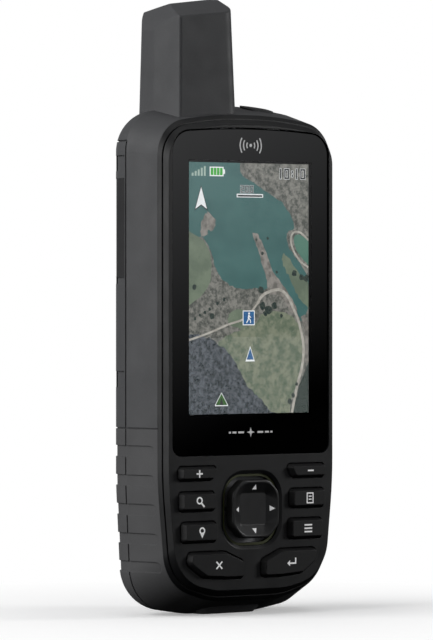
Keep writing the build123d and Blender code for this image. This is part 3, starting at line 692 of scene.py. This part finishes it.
def build_floor():
    """Pale floor that fades into the white backdrop; it throws no light back on the unit."""
    bm = bmesh.new()
    bmesh.ops.create_grid(bm, x_segments=8, y_segments=8, size=6.0)
    mesh = bpy.data.meshes.new("floor")
    bm.to_mesh(mesh)
    bm.free()
    floor = bpy.data.objects.new("floor", mesh)
    bpy.context.scene.collection.objects.link(floor)
    floor.visible_diffuse = False
    floor.visible_glossy = False
    s = Shader("floor_white")
    s.set(Base_Color=(0.93, 0.93, 0.93, 1.0), Roughness=0.8, Specular_IOR_Level=0.0)
    s.set(Emission_Color=(1.0, 1.0, 1.0, 1.0), Emission_Strength=0.30)
    distance = s.node("ShaderNodeVectorMath", operation="LENGTH")
    s.link(s.coords, distance.inputs[0])
    far = s.remap(distance.outputs["Value"], 0.045, 0.13, 0.0, 1.0)
    glowing = s.node("ShaderNodeEmission")
    mixer = s.node("ShaderNodeMixShader")
    s.link(far, mixer.inputs["Fac"])
    s.link(s.principled.outputs["BSDF"], mixer.inputs[1])
    s.link(glowing.outputs["Emission"], mixer.inputs[2])
    s.link(mixer.outputs["Shader"], s.tree.nodes["Material Output"].inputs["Surface"])
    mesh.materials.append(s.material)


def build_world():
    """White to the eye; as a light source, dim above the horizon and dark below it.

    Its edge is soft and leans, which gives the cover glass a slanted fading sheen.
    """
    world = bpy.data.worlds.new("studio")
    world.use_nodes = True
    tree = world.node_tree

    def math_node(operation, first, second):
        made = tree.nodes.new("ShaderNodeMath")
        made.operation = operation
        for socket, value in zip(made.inputs, (first, second)):
            if isinstance(value, bpy.types.NodeSocket):
                tree.links.new(value, socket)
            else:
                socket.default_value = value
        return made.outputs["Value"]

    lit = tree.nodes["Background"]
    coords = tree.nodes.new("ShaderNodeTexCoord")
    split = tree.nodes.new("ShaderNodeSeparateXYZ")
    tree.links.new(coords.outputs["Generated"], split.inputs["Vector"])
    lean = math_node("SUBTRACT", math_node("MULTIPLY", split.outputs["X"], 0.6), 0.362)
    level = math_node("SUBTRACT", split.outputs["Z"], math_node("MAXIMUM", lean, -0.01))
    height = tree.nodes.new("ShaderNodeMapRange")
    for name, value in (("From Min", -0.035), ("From Max", 0.04), ("To Min", 0.0), ("To Max", 1.0)):
        height.inputs[name].default_value = value
    tree.links.new(level, height.inputs["Value"])
    curve = math_node("POWER", height.outputs["Result"], 1.5)
    falloff = math_node("SUBTRACT", 1.1, math_node("MULTIPLY", split.outputs["Z"], 3.0))
    shape = math_node("MULTIPLY", curve, math_node("MAXIMUM", falloff, 0.2))
    tree.links.new(math_node("MULTIPLY", shape, SKY), lit.inputs["Strength"])
    lit.inputs["Color"].default_value = (0.97, 0.98, 1.0, 1.0)
    seen = tree.nodes.new("ShaderNodeBackground")
    seen.inputs["Color"].default_value = (1.0, 1.0, 1.0, 1.0)
    path = tree.nodes.new("ShaderNodeLightPath")
    mixer = tree.nodes.new("ShaderNodeMixShader")
    tree.links.new(path.outputs["Is Camera Ray"], mixer.inputs["Fac"])
    tree.links.new(lit.outputs["Background"], mixer.inputs[1])
    tree.links.new(seen.outputs["Background"], mixer.inputs[2])
    tree.links.new(mixer.outputs["Shader"], tree.nodes["World Output"].inputs["Surface"])
    bpy.context.scene.world = world


def area_light(name, place, target, size, power):
    data = bpy.data.lights.new(name, "AREA")
    data.shape = "RECTANGLE"
    data.size, data.size_y = size
    data.energy = power
    light = bpy.data.objects.new(name, data)
    light.location = place
    light.rotation_euler = (Vector(target) - Vector(place)).to_track_quat("-Z", "Y").to_euler()
    bpy.context.scene.collection.objects.link(light)


def build_lights():
    """A large soft box at the left, a weak one above and a small fill at the front right."""
    middle = (0.0, 0.0, 0.08)
    area_light("left_softbox", (-1.25, 0.25, 0.6), middle, (1.0, 1.3), 16.8)
    area_light("top_softbox", (0.1, -0.1, 1.5), middle, (1.4, 1.0), 3.0)
    area_light("front_fill", (0.62, -0.42, 0.27), middle, (0.2, 0.2), 1.9)


def build_camera():
    """Level camera to the front left, with a long lens."""
    data = bpy.data.cameras.new("camera")
    data.lens = 241.9
    data.sensor_width = 36.0
    data.shift_y = -0.039
    camera = bpy.data.objects.new("camera", data)
    camera.location = (-0.6923, -0.9154, 0.0845)
    camera.rotation_euler = (math.radians(90.0), 0.0, math.radians(-37.1))
    bpy.context.scene.collection.objects.link(camera)
    bpy.context.scene.camera = camera


# -------------------------------------------------------------------- main

build_camera()
build_world()
build_lights()
build_floor()
paint_cad()
build_map()
build_numerals(*build_icons())
build_border()
build_marks()
build_key_symbols()
build_rocker_arrows()
bpy.context.scene.view_settings.view_transform = "Standard"
